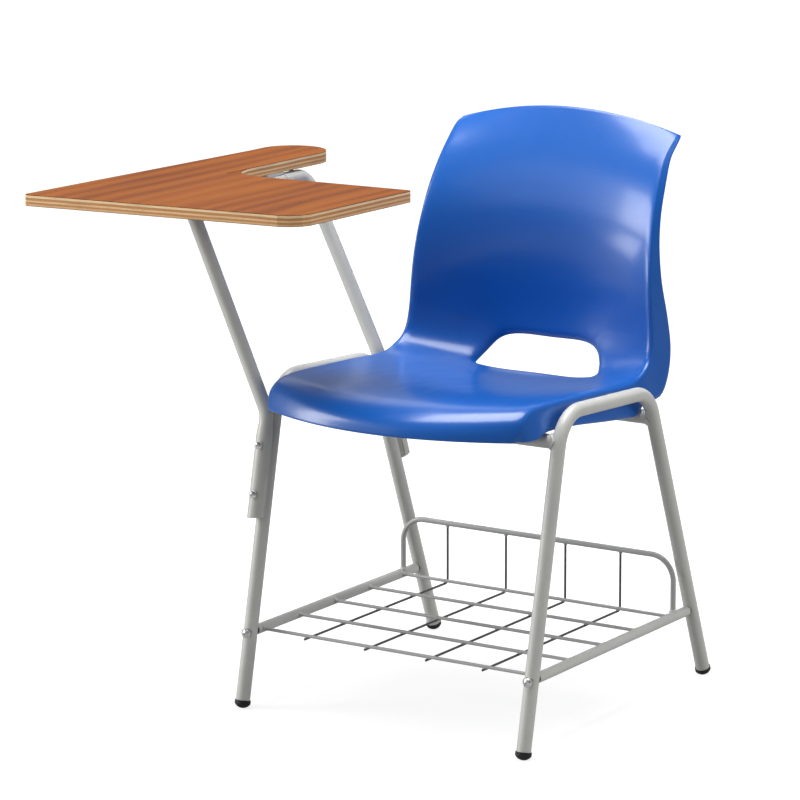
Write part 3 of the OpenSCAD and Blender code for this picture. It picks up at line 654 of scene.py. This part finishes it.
def weld_cross_tubes(steel, half_w, tube_r):
    """Each bead follows the line where a cross tube meets a leg."""
    for node, rake in (("front_cross_tube", FRONT_RAKE), ("rear_cross_tube", REAR_RAKE)):
        at = middle(node)
        out = np.array([0, 1, -rake]) / math.hypot(1, rake)
        for side in (-1, 1):
            ring = []
            for i in range(RING_STEPS):
                a = 2 * math.pi * i / RING_STEPS
                spoke = (tube_r + RING_PROUD) * np.array([0, math.cos(a), math.sin(a)])
                reach = math.sqrt(max((tube_r + LEG_PROUD) ** 2 - (spoke @ out) ** 2, 1))
                ring.append([side * (half_w - reach), at[1] + spoke[1], at[2] + spoke[2]])
            steel.bead(ring, LEG_BEAD, ALONG_X, closed=True)


def weld_seat_tabs(steel, tube_r):
    outer = own("seat_brackets")[1][0]
    for node in ("front_cross_tube", "rear_cross_tube"):
        at = middle(node)
        z = at[2] + tube_r - TAB_SEAM_DROP
        for side in (-1, 1):
            x = side * (outer - TAB_W / 2)
            for dy in (-TAB_SEAM_Y, TAB_SEAM_Y):
                start, end = x - TAB_SEAM / 2, x + TAB_SEAM / 2
                steel.line((start, at[1] + dy, z), (end, at[1] + dy, z), TAB_BEAD, UPWARD)


def weld_rest_arm(steel):
    low, high = own("rest_arm")
    x, y_start, y_end = low[0] - 0.4, low[1] + 1, high[1] - 1
    for z in (low[2] - 0.5, high[2] + 0.5):
        steel.line((x, y_start, z), (x, y_end, z), ARM_BEAD, UPWARD)


def weld_board_plates(hinge):
    low, high = own("tablet_brackets")
    bar_x, z = middle("tablet_crossbar")[0], low[2] - PLATE_SEAM_DROP
    for y in (low[1] + PLATE_W / 2, high[1] - PLATE_W / 2):
        start, end = y - PLATE_SEAM / 2, y + PLATE_SEAM / 2
        for x in (bar_x - PLATE_SEAM_X, bar_x + PLATE_SEAM_X):
            hinge.line((x, start, z), (x, end, z), PLATE_BEAD, UPWARD)


def rack_tube():
    """The left rack tube's middle and radius."""
    low, high = own("rack_tube_left")
    return (low + high) / 2, (high[2] - low[2]) / 2


def weld_rack_wires(steel, wires):
    """Wire ends on the side tubes, and wires on wires."""
    low, high = own("rack_cross_wires")
    wire_r, wire_z = (high[2] - low[2]) / 2, (high[2] + low[2]) / 2
    wire_ys = np.linspace(low[1] + wire_r, high[1] - wire_r, CROSS_WIRES)
    tube, tube_r = rack_tube()
    face = tube[0] - math.sqrt(tube_r**2 - (wire_z - tube[2]) ** 2)
    for y in wire_ys:
        for side in (-1, 1):
            rise = RNG.uniform(0.9, 1.15)
            profile = [(0, 3.9), (1.2, 3.7), (2.4, 3.1)]
            profile = [(h, r * rise) for h, r in profile] + [(3.6, 2.6), (5.0, wire_r + FADE)]
            steel.collar((side * (face + 1.2), y, wire_z), (-side, 0, 0), profile, UPWARD)
    drop_z = wire_z - wire_r
    depth_top = own("rack_depth_wires")[1][2]
    profile = [(0, 2.9), (1.0, 2.7), (2.0, 2.2), (3.2, DEPTH_WIRE_R + FADE)]
    for x in DEPTH_WIRE_X:
        for y in wire_ys:
            radius = DROP_R * RNG.uniform(0.9, 1.1)
            wires.blob((x, y, drop_z), radius, DROP_HALF, UPWARD, ALONG_X)
        wires.collar((x, GUARD_Y, depth_top + 0.6), (0, 0, -1), profile, ALONG_X)


def weld_guard(steel):
    """The guard's two posts on the side tubes."""
    low, high = own("rack_guard")
    guard_r = (high[1] - low[1]) / 2
    post = high[0] - guard_r
    tube, tube_r = rack_tube()
    top = tube[2] + math.sqrt(tube_r**2 - (post - tube[0]) ** 2)
    profile = [(0, 1.9), (1.2, 1.7), (2.4, 0.9), (3.6, 0.3), (4.6, 0.03)]
    profile = [(h, guard_r + proud) for h, proud in profile]
    for side in (-1, 1):
        steel.collar((side * post, GUARD_Y, top - 1.2), UPWARD, profile, ALONG_X, 20)


def press_saddles(steel, half_w):
    """Pressed edges of the saddles, along the legs on the tablet's side."""
    for foot_y, rake, z, way in (
        (FRONT_FOOT_Y, FRONT_RAKE, FRONT_SADDLE_Z, -1),
        (REAR_FOOT_Y, REAR_RAKE, REAR_SADDLE_Z, 1),
    ):
        up = np.array([0, rake, 1]) / math.hypot(1, rake)
        out = way * np.array([0, 1, -rake]) / math.hypot(1, rake)
        z += SADDLE_RIB_START
        base = np.array([-half_w, foot_y + rake * z, z])
        for dx in (-SADDLE_EDGE[0], SADDLE_EDGE[0]):
            start = base + out * SADDLE_EDGE[1] + np.array([dx, 0, 0])
            steel.collar(start, up, SADDLE_RIB, ALONG_X, 12)


def make_welds():
    steel, wires, hinge = Beads(), Beads(), Beads()
    low, high = own("left_side_frame")
    half_w, tube_r = (low[0] + high[0]) / 2, (high[0] - low[0]) / 2
    weld_cross_tubes(steel, half_w, tube_r)
    weld_seat_tabs(steel, tube_r)
    weld_rest_arm(steel)
    weld_board_plates(hinge)
    weld_rack_wires(steel, wires)
    weld_guard(steel)
    press_saddles(steel, half_w)
    steel.place("frame_welds", "chair_frame", "frame_coat")
    wires.place("wire_welds", "chair_frame", "wire_coat")
    hinge.place("tablet_welds", "tablet", "frame_coat")


make_welds()


# ---------------------------------------------------------------- floor, light, camera
def make_stage():
    """A plain floor that looks white and throws only a soft light back at the chair."""
    size = 40.0
    corners = [(-size, -size, 0), (size, -size, 0), (size, size, 0), (-size, size, 0)]
    mesh = bpy.data.meshes.new("floor")
    mesh.from_pydata(corners, [], [(0, 1, 2, 3)])
    floor = bpy.data.objects.new("floor", mesh)
    bpy.context.scene.collection.objects.link(floor)
    g = Graph("floor")
    gray = [(0.0, (0.30, 0.30, 0.30)), (1.0, (0.31, 0.31, 0.305))]
    g.put("Base Color", g.ramp(g.noise(3, 2), gray))
    g.set(Roughness=0.9, Specular_IOR_Level=0.1, Emission_Color=(*WHITE, 1))
    # the camera sees it bright, a little darker near the chair as painted shade, and reflections
    # see less of it
    path = g.add("ShaderNodeLightPath").outputs
    seen = g.math("MAXIMUM", path["Is Camera Ray"], g.math("MULTIPLY", path["Is Glossy Ray"], 0.15))
    away = g.add("ShaderNodeVectorMath", {0: g.coords}, operation="LENGTH").outputs["Value"]
    g.put("Emission Strength", g.math("MULTIPLY", seen, g.span(away, 0.3, 2.0, 0.79, 1.0)))
    mesh.materials.append(g.material)


def area_light(name, place, target, width, height, power, glossy=True):
    data = bpy.data.lights.new(name, "AREA")
    data.shape, data.size, data.size_y = "RECTANGLE", width, height
    data.energy = power
    lamp = bpy.data.objects.new(name, data)
    lamp.location = place
    lamp.rotation_euler = (Vector(target) - Vector(place)).to_track_quat("-Z", "Y").to_euler()
    lamp.visible_glossy = glossy
    bpy.context.scene.collection.objects.link(lamp)


def make_world(strength):
    world = bpy.data.worlds.new("studio")
    bpy.context.scene.world = world
    world.use_nodes = True
    background = world.node_tree.nodes["Background"].inputs
    background["Color"].default_value = (*WHITE, 1)
    background["Strength"].default_value = strength


def make_camera(place, yaw, pitch, roll, lens):
    """A camera at a place in the chair's own frame, its turns in degrees."""
    data = bpy.data.cameras.new("camera")
    data.sensor_width = 36
    data.lens = lens
    camera = bpy.data.objects.new("camera", data)
    camera.location = np.array(place) + SHIFT
    camera.rotation_mode = "XYZ"
    camera.rotation_euler = [math.radians(a) for a in (90 - pitch, roll, yaw)]
    bpy.context.scene.collection.objects.link(camera)
    bpy.context.scene.camera = camera


make_stage()
make_world(0.22)
# name, place, target, width, height, power in watts
area_light("key", (-3.0, -1.7, 1.5), (0.1, 0.0, 0.5), 1.1, 2.4, 84)
area_light("front", (-1.4, -3.6, 1.5), (0.1, 0.0, 0.5), 1.6, 1.2, 22, glossy=False)
area_light("veil", (-2.5, -3.4, 2.3), (0.1, 0.0, 0.5), 2.6, 2.8, 13)
area_light("backdrop", (-2.8, 3.4, 3.0), (0.0, 0.0, 0.45), 2.6, 1.4, 11)
area_light("right", (3.3, 1.3, 1.4), (0.1, 0.0, 0.4), 1.4, 1.6, 48, glossy=False)
area_light("top", (-0.2, 0.1, 3.1), (0.1, 0.05, 0.4), 2.0, 2.0, 116)
make_camera((2.7466, -4.4109, 1.5062), yaw=33.03, pitch=12.03, roll=0.15, lens=180)
bpy.context.scene.view_settings.view_transform = "Standard"
bpy.context.scene.view_settings.look = "None"
